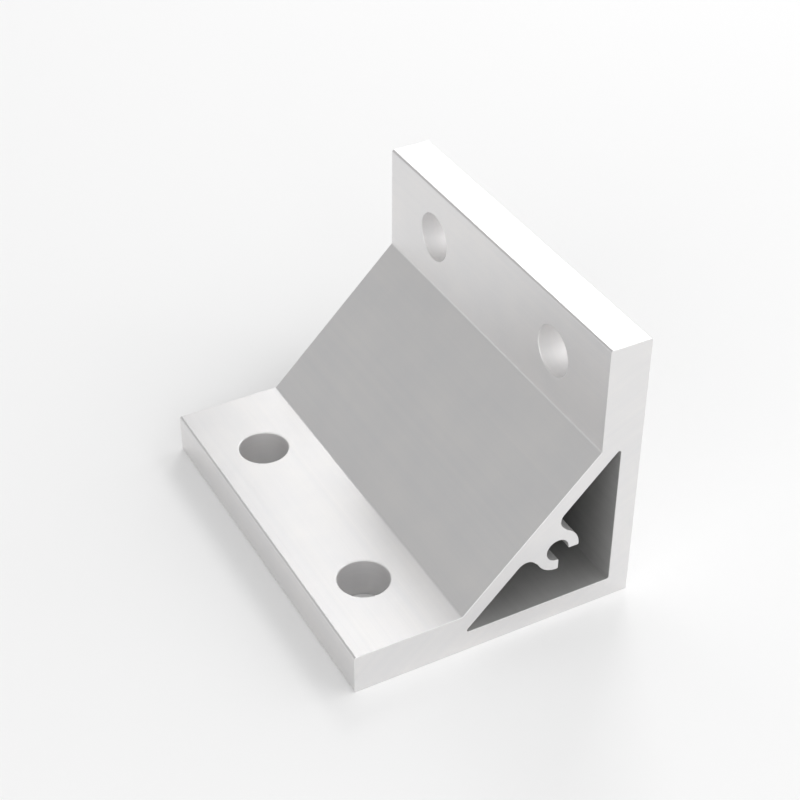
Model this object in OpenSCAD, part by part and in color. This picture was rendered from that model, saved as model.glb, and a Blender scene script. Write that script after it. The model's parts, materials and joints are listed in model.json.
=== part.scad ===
// Corner bracket for slotted framing profiles: one length sawn from an extruded angle section, then drilled.
//
// The section is drawn once, in its own plane: the base leg lies along the first axis, the upright leg along
// the second, with the outside corner at zero. It is symmetrical about the diagonal between the legs.
// In the part, the base leg lies along +X, the upright leg stands along +Z, and the extrusion runs along Y
// with zero at the middle of its length. The underside of the base is at Z = 0.

/* [Legs] */
// Length of each leg, along its outer face
leg_len = 53; // [51:0.5:70]
// Length of the sawn piece, along the extrusion
cut_len = 72; // [60:1:160]
// Thickness of a leg at its land, where the bolts clamp
land_t = 7.8; // [6:0.1:10]
// Width of a land, from the leg's free edge to the foot of the web
land_w = 20; // [16:0.5:22]

/* [Hollow] */
// Wall of each leg beside the hollow
hollow_wall = 4; // [3:0.1:5.5]
// Thickness of the web that closes the corner
web_t = 3; // [2:0.1:4]

/* [Screw port] */
// Bore of the C-shaped port, which takes a screw driven in from either end
port_d = 4.2; // [3.3:0.1:5]
// Distance of the port's axis from both outer faces
port_at = 15; // [13:0.1:15.5]
// Wall of the ring round the port
port_wall = 2; // [1.2:0.1:2.4]
// How far each lip of the ring reaches past the port's centre line
lip_past = 0.3; // [0.1:0.05:0.8]
// Step from the ring in to each side of the neck that joins it to the web
neck_step = 0.25; // [0.1:0.05:0.8]

/* [Bolt holes] */
// Diameter of the clearance holes through the lands
hole_d = 9; // [6.6:0.1:11]
// Distance between the two holes of a leg
hole_pitch = 40; // [30:1:46]
// Distance of the holes from the leg's free edge
hole_edge = 10; // [8:0.5:12]
// Width of the chamfer that deburring leaves on the rims of a hole
rim_break = 0.2; // [0.1:0.05:0.6]

/* [Rounding] */
// Radius of the corners at the legs' free edges
edge_r = 0.4; // [0.2:0.1:1.5]
// Radius of the outside corner, where the two mounting faces meet
heel_r = 0.3; // [0.1:0.1:2]
// Radius of the knee where each land meets the web
knee_r = 0.6; // [0.3:0.1:4]
// Radius in the corners of the hollow
hollow_r = 0.4; // [0.2:0.1:1]
// Radius at the root of the port's neck
root_r = 2; // [1:0.1:2.5]
// Radius of the corners of the port's lips
lip_r = 0.25; // [0.1:0.05:0.5]

/* [Hidden] */

// Facets of a full round
round_fn = 96;
// Angle of the web, and of the port's neck, to the legs
diagonal = 45;
// Share of its radius by which an arc cuts into the sides that it joins, so that they cross and not just touch
arc_bite = 0.0005;
// How much larger than its corner the kite is that a sliver is cut from
kite_growth = 1.5;

// Where the web's outer face meets each land, along the leg
web_foot = leg_len - land_w;
// What the two coordinates of a point on the web's inner face add up to
inner_sum = web_foot + land_t - web_t / sin(diagonal);
// Where the hollow's tips would be if they were sharp
hollow_tip = inner_sum - hollow_wall;

port_r = port_d / 2;
ring_r = port_r + port_wall;
neck_half = ring_r - neck_step;
// From the port's axis to the web's inner face, along the diagonal
neck_len = (inner_sum - 2 * port_at) * sin(diagonal);

// The sliver between a sharp corner at p and an arc of radius r that meets both of its sides.
// a and b are points on the two sides. Taken away it rounds an outer corner, added it fills an inner one.
// It is cut from a kite that has been grown about the arc's centre, so that it also runs past both sides,
// into the material that it joins or the air that it leaves.
module corner_sliver(p, a, b, r) {
    to_a = (a - p) / norm(a - p);
    to_b = (b - p) / norm(b - p);
    half = acos(to_a * to_b) / 2;
    to_centre = (to_a + to_b) / norm(to_a + to_b);
    inset = r * (1 - arc_bite);
    centre = p + to_centre * inset / sin(half);
    kite = [p, p + to_a * inset / tan(half), centre, p + to_b * inset / tan(half)];
    difference() {
        polygon([for (corner = kite) centre + (corner - centre) * kite_growth]);
        translate(centre) circle(r, $fn = round_fn);
    }
}

// Which way an outline turns at point i: positive at an outer corner, when the points go anticlockwise
function turn(points, i) =
    let (
        n = len(points),
        from = points[(i + n - 1) % n] - points[i],
        to = points[(i + 1) % n] - points[i]
    )
    to.x * from.y - to.y * from.x;

// The slivers of the outer corners (way = 1) or the inner corners (way = -1) of an outline
module slivers(points, radii, way) {
    n = len(points);
    for (i = [0 : n - 1])
        if (way * turn(points, i) > 0)
            corner_sliver(points[i], points[(i + n - 1) % n], points[(i + 1) % n], radii[i]);
}

// An outline whose corners each have their own radius, as true arcs
module rounded_outline(points, radii) {
    difference() {
        union() {
            polygon(points);
            slivers(points, radii, -1);
        }
        slivers(points, radii, 1);
    }
}

// Both legs and the web, filled in
module angle_outline() {
    rounded_outline(
        [
            [0, 0],
            [leg_len, 0],
            [leg_len, land_t],
            [web_foot, land_t],
            [land_t, web_foot],
            [land_t, leg_len],
            [0, leg_len]
        ],
        [heel_r, edge_r, edge_r, knee_r, knee_r, edge_r, edge_r]
    );
}

// The three-cornered hollow between the legs and the web
module hollow_outline() {
    rounded_outline(
        [
            [hollow_wall, hollow_wall],
            [hollow_tip, hollow_wall],
            [hollow_wall, hollow_tip]
        ],
        [hollow_r, hollow_r, hollow_r]
    );
}

// Cutter for one corner of the upper lip. c is the centre of the rounding, and t a point on the line from
// the port's axis through c, past the place where the rounding meets the ring's wall.
module lip_corner(c, t) {
    below = c.y - 2 * lip_r;
    difference() {
        polygon([c, t, [t.x, below], [c.x, below]]);
        translate(c) circle(lip_r, $fn = round_fn);
    }
}

// Cutter for the end of the upper lip: a rounding against the ring's outside and one against its bore
module lip_rounding() {
    inset = lip_r * (1 - arc_bite);
    y = inset - lip_past;
    outer_d = ring_r - inset;
    inner_d = port_r + inset;
    outer_c = [-sqrt(pow(outer_d, 2) - pow(y, 2)), y];
    inner_c = [-sqrt(pow(inner_d, 2) - pow(y, 2)), y];
    lip_corner(outer_c, outer_c * (ring_r + lip_r) / outer_d);
    lip_corner(inner_c, inner_c * (port_r - lip_r) / inner_d);
}

// The screw port: a ring on a short neck, open on the quarter that faces the outside corner
module screw_port() {
    difference() {
        union() {
            circle(ring_r, $fn = round_fn);
            rotate(diagonal) {
                translate([0, -neck_half]) square([neck_len + web_t / 2, 2 * neck_half]);
                for (flip = [0, 1])
                    mirror([0, flip])
                        corner_sliver(
                            [neck_len, -neck_half],
                            [0, -neck_half],
                            [neck_len, -2 * neck_half],
                            root_r
                        );
            }
        }
        circle(port_r, $fn = round_fn);
        translate([-lip_past - ring_r, -lip_past - ring_r]) square(ring_r);
        for (flip = [0, 1])
            mirror([flip, -flip]) lip_rounding();
    }
}

// The whole section, as it leaves the die
module section() {
    difference() {
        angle_outline();
        hollow_outline();
    }
    translate([port_at, port_at]) screw_port();
}

// One hole through the base leg, with its axis at the origin and both of its rims deburred
module leg_hole() {
    cylinder(d = hole_d, h = 3 * land_t, center = true, $fn = round_fn);
    for (flip = [0, 1])
        translate([0, 0, land_t / 2])
            mirror([0, 0, flip])
                translate([0, 0, land_t / 2 - rim_break])
                    cylinder(r1 = hole_d / 2, r2 = hole_d / 2 + 2 * rim_break, h = 2 * rim_break, $fn = round_fn);
}

// The two drilled holes of the base leg
module leg_holes() {
    for (side = [-1, 1])
        translate([leg_len - hole_edge, side * hole_pitch / 2])
            leg_hole();
}

module corner_bracket() {
    color([0.82, 0.83, 0.84])
        difference() {
            rotate([90, 0, 0])
                linear_extrude(cut_len, center = true)
                    section();
            leg_holes();
            // The upright leg is drilled as the base is, mirrored across the diagonal
            mirror([1, 0, -1]) leg_holes();
        }
}

corner_bracket();
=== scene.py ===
import json
import math

import bmesh
import bpy
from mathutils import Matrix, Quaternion, Vector


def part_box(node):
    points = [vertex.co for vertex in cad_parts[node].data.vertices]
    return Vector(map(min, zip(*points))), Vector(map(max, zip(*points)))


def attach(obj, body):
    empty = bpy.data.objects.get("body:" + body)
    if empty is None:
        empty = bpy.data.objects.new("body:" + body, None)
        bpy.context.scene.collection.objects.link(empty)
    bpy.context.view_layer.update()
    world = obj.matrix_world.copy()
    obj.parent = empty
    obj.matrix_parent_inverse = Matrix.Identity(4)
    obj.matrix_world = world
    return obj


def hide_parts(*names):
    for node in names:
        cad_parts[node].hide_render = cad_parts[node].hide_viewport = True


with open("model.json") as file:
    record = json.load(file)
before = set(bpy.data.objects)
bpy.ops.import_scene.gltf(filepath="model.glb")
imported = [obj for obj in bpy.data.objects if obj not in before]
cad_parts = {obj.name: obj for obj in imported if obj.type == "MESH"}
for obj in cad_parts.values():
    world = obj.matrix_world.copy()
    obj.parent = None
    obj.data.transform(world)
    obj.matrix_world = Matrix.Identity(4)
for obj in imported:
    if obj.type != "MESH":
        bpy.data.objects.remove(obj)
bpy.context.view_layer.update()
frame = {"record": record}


# The bracket's section, as the die gives it to the bar. Two equal legs end in thick lands for the bolts,
# a web closes the corner, and a C-shaped screw port stands on the web's inner side. The section lies in X
# and Z. It is its own mirror image across the diagonal, so only the base leg's half of it is drawn.
MM = 0.001
mounts = {mount["name"]: mount for mount in frame["record"]["mounts"]}
bar_low, bar_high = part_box("corner_bracket")
leg_len = bar_high.x
cut_len = bar_high.y - bar_low.y
port_at = mounts["screw_port"]["pos_m"][0]
port_r = mounts["screw_port"]["dims"]["r_mm"] * MM

land_t = 7.8 * MM
land_w = 20 * MM
hollow_wall = 4 * MM
web_t = 3 * MM
port_wall = 2 * MM
lip_past = 0.3 * MM
neck_step = 0.25 * MM

edge_r = 0.4 * MM
heel_r = 0.3 * MM
knee_r = 0.6 * MM
hollow_r = 0.4 * MM
root_r = 2 * MM
lip_r = 0.25 * MM

DEGREES_A_STEP = 5
SAME_PLACE = 0.001 * MM
ROOT_2 = math.sqrt(2)

# Where the web's outer face meets a land, and what X and Z add up to on the web's inner face
web_foot = leg_len - land_w
web_inner = web_foot + land_t - web_t * ROOT_2


def arc(centre, radius, start, end):
    """Points of an arc, from one angle to another in degrees, both ends included."""
    steps = max(2, math.ceil(abs(end - start) / DEGREES_A_STEP))
    angles = (math.radians(start + (end - start) * i / steps) for i in range(steps + 1))
    return [Vector((centre[0] + radius * math.cos(a), centre[1] + radius * math.sin(a))) for a in angles]


def outer_half():
    """The outline from the outside corner, round the free edge and over the land, to the web's middle."""
    middle = (web_foot + land_t) / 2
    return [
        *arc((heel_r, heel_r), heel_r, 225, 270),
        *arc((leg_len - edge_r, edge_r), edge_r, 270, 360),
        *arc((leg_len - edge_r, land_t - edge_r), edge_r, 0, 90),
        *arc((web_foot + knee_r * (ROOT_2 - 1), land_t + knee_r), knee_r, 270, 225),
        Vector((middle, middle)),
    ]


def inner_half():
    """The outline from the hollow's square corner, by its tip and the web, to the middle of the bore."""
    tip_x = web_inner - hollow_wall - hollow_r * (1 + ROOT_2)
    ring_r = port_r + port_wall
    neck_half = ring_r - neck_step
    root_along = web_inner / ROOT_2 - root_r
    root_across = neck_half + root_r
    root_centre = ((root_along + root_across) / ROOT_2, (root_along - root_across) / ROOT_2)
    neck_angle = 45 - math.degrees(math.asin(neck_half / ring_r))

    port = (port_at, port_at)
    lip_x = lip_r - lip_past
    outer_z = -math.sqrt((ring_r - lip_r) ** 2 - lip_x**2)
    inner_z = -math.sqrt((port_r + lip_r) ** 2 - lip_x**2)
    outer_angle = math.degrees(math.atan2(outer_z, lip_x))
    inner_angle = math.degrees(math.atan2(inner_z, lip_x))
    return [
        *arc((hollow_wall + hollow_r, hollow_wall + hollow_r), hollow_r, 225, 270),
        *arc((tip_x, hollow_wall + hollow_r), hollow_r, 270, 405),
        *arc(root_centre, root_r, 45, 135),
        *arc(port, ring_r, neck_angle, outer_angle),
        *arc((port_at + lip_x, port_at + outer_z), lip_r, outer_angle, -180)[1:],
        *arc((port_at + lip_x, port_at + inner_z), lip_r, 180, inner_angle + 180),
        *arc(port, port_r, inner_angle, 45)[1:],
    ]


def section_mesh():
    """The section at the bar's low end, as two faces that meet on the diagonal and look along +Y."""
    half = [*outer_half(), *reversed(inner_half())]
    bm = bmesh.new()
    bm.faces.new([bm.verts.new((x, bar_low.y, z)) for x, z in reversed(half)])
    bm.faces.new([bm.verts.new((z, bar_low.y, x)) for x, z in half])
    bmesh.ops.remove_doubles(bm, verts=bm.verts, dist=SAME_PLACE)
    mesh = bpy.data.meshes.new("bracket_section")
    bm.to_mesh(mesh)
    bm.free()
    return mesh


# The finish. The drilled bracket is etched and clear anodised, which leaves a satin silver skin that is
# duller deep in the hollow. The hollow's colour also holds painted shade, darker towards the middle of its
# length. Under the skin are the marks of its making: die lines along the extruded faces, saw arcs across
# the ends and rings round the drilled walls.

# Tones from dark to light: the shade, from 0 to 1, that each is for, and its colour
SILVERS = ((0.36, (0.772, 0.768, 0.772, 1)), (0.64, (0.814, 0.803, 0.796, 1)))
# The hollow's greys paint shade into its colour: the dark grey goes in the middle of its length, the light
# one at its open ends
PAINTED_SHADE_GREYS = ((0.14, (0.110, 0.112, 0.114, 1)), (0.86, (0.690, 0.688, 0.682, 1)))
# Roughness at a shade of 0 and at a shade of 1
SATIN = (0.39, 0.45)
MATT = (0.57, 0.63)
DULLING = (0.81, 0.59)

FINE_LINE = 0.25 * MM
FINE_LINE_RUN = 90 * MM
FINE_SHARE = 0.35
BROAD_LINE = 1.4 * MM
BROAD_LINE_RUN = 260 * MM
# How much of the hollow's shade is painted shade that fades from the open ends, against its die lines
PAINTED_SHADE_SHARE = 0.85
BLADE_HUB = (-70 * MM, 0, -120 * MM)
TOOTH_MARK = 1.6 * MM
DRILL_RING = 0.9 * MM
CLOUD_SIZE = 9 * MM
ETCH_SIZE = 0.09 * MM
ETCH_DEPTH = 0.0012 * MM


def node(tree, kind, inputs=None, **settings):
    """Adds a node. inputs maps its inputs' names or numbers to values or to the outputs that feed them."""
    made = tree.nodes.new(kind)
    for name, value in settings.items():
        setattr(made, name, value)
    for name, value in (inputs or {}).items():
        if isinstance(value, bpy.types.NodeSocket):
            tree.links.new(value, made.inputs[name])
        else:
            made.inputs[name].default_value = value
    return made


def maths(tree, operation, *values):
    """The result of a Math node on one to three values or links."""
    return node(tree, "ShaderNodeMath", dict(enumerate(values)), operation=operation).outputs[0]


def stretched(tree, *sizes):
    """Object coordinates in units of these sizes along X, Y and Z, for a pattern one unit across."""
    place = node(tree, "ShaderNodeTexCoord").outputs["Object"]
    scale = [1 / size for size in sizes]
    return node(tree, "ShaderNodeMapping", {"Vector": place, "Scale": scale}).outputs[0]


def along(tree, distance, size):
    """A place that moves one unit for each size of distance, for a pattern that varies only that way."""
    return node(tree, "ShaderNodeCombineXYZ", {"X": maths(tree, "DIVIDE", distance, size)}).outputs[0]


def noise(tree, place, detail, roughness=0.5):
    """A soft noise from 0 to 1, one unit across."""
    inputs = {"Vector": place, "Scale": 1.0, "Detail": detail, "Roughness": roughness}
    return node(tree, "ShaderNodeTexNoise", inputs).outputs[0]


def die_lines(tree):
    """Lines along the whole extrusion: the fine scratches of the die among its broader streaks."""
    fine = noise(tree, stretched(tree, FINE_LINE, FINE_LINE_RUN, FINE_LINE), detail=2)
    broad = noise(tree, stretched(tree, BROAD_LINE, BROAD_LINE_RUN, BROAD_LINE), detail=2)
    return maths(tree, "MULTIPLY_ADD", fine, FINE_SHARE, maths(tree, "MULTIPLY", broad, 1 - FINE_SHARE))


def lines_under_painted_shade(tree):
    """Die lines under painted shade: the hollow is painted lightest at both ends of its length and darker
    towards the middle.
    """
    place = node(tree, "ShaderNodeTexCoord").outputs["Object"]
    from_middle = node(tree, "ShaderNodeSeparateXYZ", {0: place}).outputs["Y"]
    towards_end = maths(tree, "DIVIDE", from_middle, cut_len / 2)
    # Painted shade: the square of the distance from the middle makes the hollow light at its ends and dark
    # in the middle
    light = maths(tree, "MULTIPLY", towards_end, towards_end)
    lines = maths(tree, "MULTIPLY", die_lines(tree), 1 - PAINTED_SHADE_SHARE)
    return maths(tree, "MULTIPLY_ADD", light, PAINTED_SHADE_SHARE, lines)


def saw_arcs(tree):
    """The arcs of a large fine-toothed blade, struck from a point beyond the outside corner."""
    place = node(tree, "ShaderNodeTexCoord").outputs["Object"]
    from_hub = node(tree, "ShaderNodeVectorMath", {0: place, 1: BLADE_HUB}, operation="SUBTRACT")
    in_section = {0: from_hub.outputs[0], 1: (1, 0, 1)}
    across = node(tree, "ShaderNodeVectorMath", in_section, operation="MULTIPLY")
    reach = node(tree, "ShaderNodeVectorMath", {0: across.outputs[0]}, operation="LENGTH").outputs["Value"]
    return noise(tree, along(tree, reach, TOOTH_MARK), detail=4, roughness=0.7)


def drill_rings(tree):
    """Rings round a hole's wall. The smaller of X and Z is the depth in the leg, for both legs' holes."""
    place = node(tree, "ShaderNodeTexCoord").outputs["Object"]
    at = node(tree, "ShaderNodeSeparateXYZ", {0: place}).outputs
    depth = maths(tree, "MINIMUM", at["X"], at["Z"])
    return noise(tree, along(tree, depth, DRILL_RING), detail=3, roughness=0.7)


def anodised(name, marks, share, depth, tones, roughness):
    """
    Anodised aluminium over the marks of one way of working. marks(tree) gives their pattern from 0 to 1.
    share is their part in the shade, where soft clouds make up the rest, and depth is how deep they are.
    """
    material = bpy.data.materials.new(name)
    material.use_nodes = True
    tree = material.node_tree
    metal = tree.nodes["Principled BSDF"]
    metal.inputs["Metallic"].default_value = 1

    pattern = marks(tree)
    clouds = noise(tree, stretched(tree, CLOUD_SIZE, CLOUD_SIZE, CLOUD_SIZE), detail=4)
    shade = maths(tree, "MULTIPLY_ADD", pattern, share, maths(tree, "MULTIPLY", clouds, 1 - share))
    tone = node(tree, "ShaderNodeValToRGB", {"Fac": shade})
    for element, (place, colour) in zip(tone.color_ramp.elements, tones):
        element.position = place
        element.color = colour
    tree.links.new(tone.outputs["Color"], metal.inputs["Base Color"])

    etch = noise(tree, stretched(tree, ETCH_SIZE, ETCH_SIZE, ETCH_SIZE), detail=2)
    low_to_high = {"Value": shade, "To Min": roughness[0], "To Max": roughness[1]}
    rough = node(tree, "ShaderNodeMapRange", low_to_high).outputs["Result"]
    tree.links.new(rough, metal.inputs["Roughness"])

    # The height is in metres, so the bump's distance is 1
    height = maths(tree, "MULTIPLY_ADD", etch, ETCH_DEPTH, maths(tree, "MULTIPLY", pattern, depth))
    bump = node(tree, "ShaderNodeBump", {"Height": height, "Distance": 1.0})
    tree.links.new(bump.outputs["Normal"], metal.inputs["Normal"])
    return material


extruded_skin = anodised(
    "anodised_extruded_face", die_lines, share=0.5, depth=0.015 * MM, tones=SILVERS, roughness=SATIN
)
# The hollow's skin has painted shade, dark in the middle of its length and light at its open ends
hollow_skin_with_painted_shade = anodised(
    "anodised_hollow_painted_shade", lines_under_painted_shade, share=0.8, depth=0.02 * MM, tones=PAINTED_SHADE_GREYS, roughness=DULLING
)
sawn_skin = anodised(
    "anodised_sawn_end", saw_arcs, share=0.5, depth=0.015 * MM, tones=SILVERS, roughness=SATIN
)
drilled_skin = anodised(
    "anodised_drilled_wall", drill_rings, share=0.5, depth=0.02 * MM, tones=SILVERS, roughness=MATT
)


# The bracket itself: one solid piece of aluminium. A length is sawn off the bar, two clearance holes are
# drilled through each leg's land, and tumbling breaks the edges of the saw cuts and of the holes' rims.
hole_r = mounts["base_holes"]["dims"]["hole_r_mm"] * MM
hole_pitch = mounts["base_holes"]["dims"]["spacing_y_mm"] * MM
hole_at = mounts["base_holes"]["pos_m"][0]
RIM_BREAK = 0.22 * MM
SAW_BREAK = 0.1 * MM
BREAK_STEPS = 3
SHARP = 1.0  # radians between the faces at an edge
HOLE_SIDES = 144
DRILL_REACH = 3.0  # leg thicknesses
SLACK = 0.05 * MM
JUST_UNDER_A_QUARTER = 0.2499
STRAIGHT_ALONG = 0.9999
sizes = {
    "Length": cut_len,
    "Hole Radius": hole_r,
    "Hole Pitch": hole_pitch,
    "Hole Distance": hole_at,
    "Leg Thickness": land_t,
    "Hollow Wall": hollow_wall,
    "Web Inner Sum": web_inner,
    "Saw Edge Weight": SAW_BREAK / RIM_BREAK,
}


def bar_tree():
    """Geometry Nodes that extrude a section along Y, drill both legs and weight the edges to be broken."""
    tree = bpy.data.node_groups.new("sawn_and_drilled_bar", "GeometryNodeTree")
    tree.interface.new_socket("Section", in_out="INPUT", socket_type="NodeSocketGeometry")
    for name in sizes:
        tree.interface.new_socket(name, in_out="INPUT", socket_type="NodeSocketFloat")
    tree.interface.new_socket("Bar", in_out="OUTPUT", socket_type="NodeSocketGeometry")
    given = tree.nodes.new("NodeGroupInput").outputs

    def made(kind, inputs=None, **settings):
        return node(tree, "GeometryNode" + kind, inputs, **settings).outputs[0]

    def vector(x=0.0, y=0.0, z=0.0):
        return node(tree, "ShaderNodeCombineXYZ", {"X": x, "Y": y, "Z": z}).outputs[0]

    def within(size, way):
        """The size and a little more (way = 1) or less (way = -1), to take in faces that lie at it."""
        return maths(tree, "ADD", size, way * SLACK)

    def joined(*parts):
        join = tree.nodes.new("GeometryNodeJoinGeometry")
        for part in parts:
            tree.links.new(part, join.inputs[0])
        return join.outputs[0]

    drawn = {"Mesh": given["Section"], "Offset": vector(y=given["Length"]), "Individual": False}
    far_end = made("ExtrudeMesh", drawn, mode="FACES")
    near_end = made("FlipFaces", {"Mesh": given["Section"]})
    bar = made("MergeByDistance", {"Geometry": joined(far_end, near_end), "Distance": SAME_PLACE})

    through = maths(tree, "MULTIPLY", given["Leg Thickness"], DRILL_REACH)
    bit = {"Vertices": HOLE_SIDES, "Radius": given["Hole Radius"], "Depth": through}
    drill = made("SetMaterial", {"Geometry": made("MeshCylinder", bit), "Material": drilled_skin})
    first = vector(given["Hole Distance"], maths(tree, "MULTIPLY", given["Hole Pitch"], -0.5))
    pair = made("MeshLine", {"Count": 2, "Start Location": first, "Offset": vector(y=given["Hole Pitch"])})
    base_drills = made("InstanceOnPoints", {"Points": pair, "Instance": drill})
    about_diagonal = {"Axis": (1, 0, 1), "Angle": math.pi}
    half_turn = node(tree, "FunctionNodeAxisAngleToRotation", about_diagonal).outputs[0]
    upright_drills = made("Transform", {"Geometry": base_drills, "Rotation": half_turn})
    drills = made("RealizeInstances", {"Geometry": joined(base_drills, upright_drills)})
    bodies = {"Mesh 1": bar, "Mesh 2": drills}
    cut = node(tree, "GeometryNodeMeshBoolean", bodies, operation="DIFFERENCE", solver="EXACT").outputs

    # Both points of an edge on a sawn end lie half the length from the middle, on the same side of it,
    # so that the product of their Y is a quarter of the length squared
    ends = node(tree, "GeometryNodeInputMeshEdgeVertices").outputs
    first_y = node(tree, "ShaderNodeSeparateXYZ", {0: ends["Position 1"]}).outputs["Y"]
    second_y = node(tree, "ShaderNodeSeparateXYZ", {0: ends["Position 2"]}).outputs["Y"]
    both_y = maths(tree, "MULTIPLY", first_y, second_y)
    square = maths(tree, "MULTIPLY", given["Length"], given["Length"])
    limit = maths(tree, "MULTIPLY", square, JUST_UNDER_A_QUARTER)
    at_one_end = maths(tree, "GREATER_THAN", both_y, limit)
    is_sharp = maths(tree, "GREATER_THAN", made("InputMeshEdgeAngle"), SHARP)
    is_sawn = maths(tree, "MULTIPLY", at_one_end, is_sharp)
    sawn_weight = maths(tree, "MULTIPLY", is_sawn, given["Saw Edge Weight"])
    weight = maths(tree, "MAXIMUM", sawn_weight, cut["Intersecting Edges"])
    stored = {"Geometry": cut["Mesh"], "Name": "bevel_weight_edge", "Value": weight}
    marked = made("StoreNamedAttribute", stored, data_type="FLOAT", domain="EDGE")

    at = node(tree, "ShaderNodeSeparateXYZ", {0: made("InputPosition")}).outputs
    nearer_wall = maths(tree, "MINIMUM", at["X"], at["Z"])
    past_walls = maths(tree, "GREATER_THAN", nearer_wall, within(given["Hollow Wall"], -1))
    coordinate_sum = maths(tree, "ADD", at["X"], at["Z"])
    short_of_web = maths(tree, "LESS_THAN", coordinate_sum, within(given["Web Inner Sum"], 1))
    in_hollow = maths(tree, "MULTIPLY", past_walls, short_of_web)
    facing = node(tree, "ShaderNodeSeparateXYZ", {0: made("InputNormal")}).outputs["Y"]
    sawn_face = maths(tree, "GREATER_THAN", maths(tree, "ABSOLUTE", facing), STRAIGHT_ALONG)
    whole = made("RealizeInstances", {"Geometry": made("SetShadeSmooth", {"Geometry": marked})})
    # The hollow's faces get the skin with painted shade
    hollow_given_painted_shade = made("SetMaterial", {"Geometry": whole, "Selection": in_hollow, "Material": hollow_skin_with_painted_shade})
    out = tree.nodes.new("NodeGroupOutput")
    bare = {"Geometry": hollow_given_painted_shade, "Selection": sawn_face, "Material": sawn_skin}
    tree.links.new(made("SetMaterial", bare), out.inputs[0])
    return tree


def finished_mesh(source):
    """The source object's mesh with all its modifiers worked out."""
    mesh = bpy.data.meshes.new_from_object(source.evaluated_get(bpy.context.evaluated_depsgraph_get()))
    bpy.data.objects.remove(source)
    return mesh


blank = bpy.data.objects.new("bracket_blank", section_mesh())
blank.data.materials.append(extruded_skin)
bpy.context.scene.collection.objects.link(blank)
drilling = blank.modifiers.new("sawn_and_drilled", "NODES")
drilling.node_group = bar_tree()
for name, size in sizes.items():
    drilling[drilling.node_group.interface.items_tree[name].identifier] = size

breaking = blank.modifiers.new("broken_edges", "BEVEL")
breaking.limit_method = "WEIGHT"
breaking.width = RIM_BREAK
breaking.segments = BREAK_STEPS
breaking.use_clamp_overlap = False
shading = blank.modifiers.new("flat_faces_stay_flat", "WEIGHTED_NORMAL")
shading.weight = 100

bracket = bpy.data.objects.new("corner_bracket_finished", finished_mesh(blank))
bpy.context.scene.collection.objects.link(bracket)
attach(bracket, "root")
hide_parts("corner_bracket")


# The floor: a wide round sheet of matt white board. The bracket stands on it, and its faces mirror it.
# The board lies a little below the underside, so that the two don't coincide.
FLOOR_REACH = 6
FLOOR_SIDES = 64
FLOOR_DROP = 0.02 * MM
FLOOR_FINISH = {"Base Color": (0.92, 0.92, 0.92, 1), "Roughness": 0.9, "Specular IOR Level": 0.1}
board = bpy.data.materials.new("white_board")
board.use_nodes = True
for name, value in FLOOR_FINISH.items():
    board.node_tree.nodes["Principled BSDF"].inputs[name].default_value = value
bm = bmesh.new()
bmesh.ops.create_circle(bm, cap_ends=True, segments=FLOOR_SIDES, radius=FLOOR_REACH)
floor_mesh = bpy.data.meshes.new("floor")
bm.to_mesh(floor_mesh)
bm.free()
floor_mesh.materials.append(board)
floor = bpy.data.objects.new("floor", floor_mesh)
floor.location.z = -FLOOR_DROP
bpy.context.scene.collection.objects.link(floor)


# The light: a grey room, which the web's slope mirrors, with five softboxes. Two stand behind the bracket,
# where the base's land mirrors them. One hangs high beyond the upright, and two stand behind the camera.
ROOM_GREY = (0.55, 0.55, 0.55, 1)


def softbox(name, place, aim, width, height, glow):
    """An area light that faces the place it is aimed at. With a glow of 1 it looks just white itself."""
    light = bpy.data.lights.new(name, "AREA")
    light.shape = "RECTANGLE"
    light.size = width
    light.size_y = height
    light.energy = math.pi * width * height * glow
    lamp = bpy.data.objects.new(name, light)
    lamp.location = place
    lamp.rotation_euler = (Vector(aim) - Vector(place)).to_track_quat("-Z", "Y").to_euler()
    bpy.context.scene.collection.objects.link(lamp)


softbox("low_back", (-0.52, -0.79, 0.2), (0, 0, 0.1), 0.5, 0.36, 2.05)
softbox("back_key", (-0.45, -0.58, 0.66), (0.036, 0, 0), 0.3, 0.3, 4.3)
softbox("overhead_right", (-1.4, 0.4, 1.2), (0, 0, 0), 2.0, 1.5, 1.3)
softbox("front_right", (-0.5, 1.8, 1.0), (0, 0, 0), 2.3, 1.5, 1.1)
softbox("front_left", (1.2, 1.3, 0.85), (0, 0, 0.1), 2.2, 1.5, 1.1)
room = bpy.data.worlds.new("grey_room")
room.use_nodes = True
room.node_tree.nodes["Background"].inputs["Color"].default_value = ROOM_GREY
room.node_tree.nodes["Background"].inputs["Strength"].default_value = 1.0
bpy.context.scene.world = room
bpy.context.scene.view_settings.view_transform = "Standard"


# The camera, as in the photograph: it looks down on the bracket from beyond the near end and the base's
# free edge. Its azimuth, height and roll are in degrees, and its lens is in mm, for a sensor 36 mm wide.
VIEW_AZIMUTH = 151.45
VIEW_HEIGHT = 36.97
VIEW_ROLL = 0.38
VIEW_DISTANCE = 314.5 * MM
VIEW_AIM = Vector((23.24, -3.93, 22.53)) * MM
LENS = 79.9
azimuth = math.radians(VIEW_AZIMUTH)
height = math.radians(VIEW_HEIGHT)
level_reach = math.cos(height)
back = Vector((math.sin(azimuth) * level_reach, -math.cos(azimuth) * level_reach, math.sin(height)))
camera = bpy.data.objects.new("camera", bpy.data.cameras.new("camera"))
camera.data.lens = LENS
camera.location = VIEW_AIM + back * VIEW_DISTANCE
level = (-back).to_track_quat("-Z", "Y")
camera.rotation_euler = (level @ Quaternion((0, 0, 1), math.radians(VIEW_ROLL))).to_euler()
bpy.context.scene.collection.objects.link(camera)
bpy.context.scene.camera = camera
